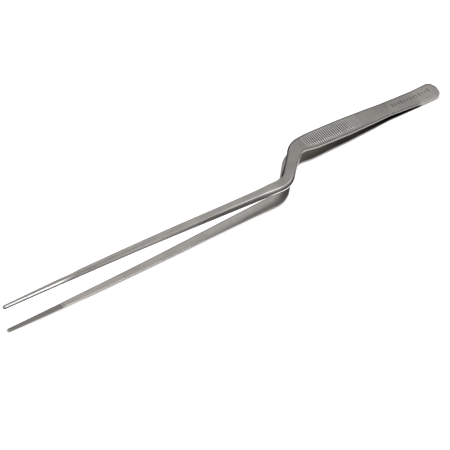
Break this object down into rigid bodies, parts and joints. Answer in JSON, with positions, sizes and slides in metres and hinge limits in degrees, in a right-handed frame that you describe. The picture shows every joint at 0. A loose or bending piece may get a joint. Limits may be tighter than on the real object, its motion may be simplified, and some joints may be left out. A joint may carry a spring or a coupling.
{
  "type": "aquascaping tweezers",
  "caption": "Long bayonet tweezers of flat spring steel: two bevelled arms welded at a rounded heel, ribbed grip, offset tapering blades and serrated jaw tips.",
  "frame": {"origin": "centre of the bounding box's bottom face, on the surface that the lower arm lies on", "axes": "+X from the heel to the tips, +Y towards the side the tips are offset to, +Z from the lower arm to the upper arm"},
  "size_m": [0.2674, 0.0286, 0.0224],
  "materials": {
    "arm_steel": "satin brushed",
    "weld_steel": "dull fused"
  },
  "bodies": {
    "heel": {"upper_arm_heel": "arm_steel", "lower_arm_heel": "arm_steel", "heel_weld": "weld_steel"},
    "upper_arm": {"upper_arm": "arm_steel"},
    "lower_arm": {"lower_arm": "arm_steel"}
  },
  "joints": [
    {"name": "upper_arm_flex", "type": "hinge", "parent": "heel", "child": "upper_arm", "pos_m": [-0.12081, -0.0085, 0.0024], "axis": [0, 1, 0], "range_deg": [0, 1.88], "stiffness_Nm_per_rad": 7},
    {"name": "lower_arm_flex", "type": "hinge", "parent": "heel", "child": "lower_arm", "pos_m": [-0.12081, -0.0085, 0.0007], "axis": [0, -1, 0], "range_deg": [0, 1.88], "stiffness_Nm_per_rad": 7}
  ],
  "couplings": [
    {"joint": "lower_arm_flex", "follows": "upper_arm_flex", "ratio": 1}
  ]
}
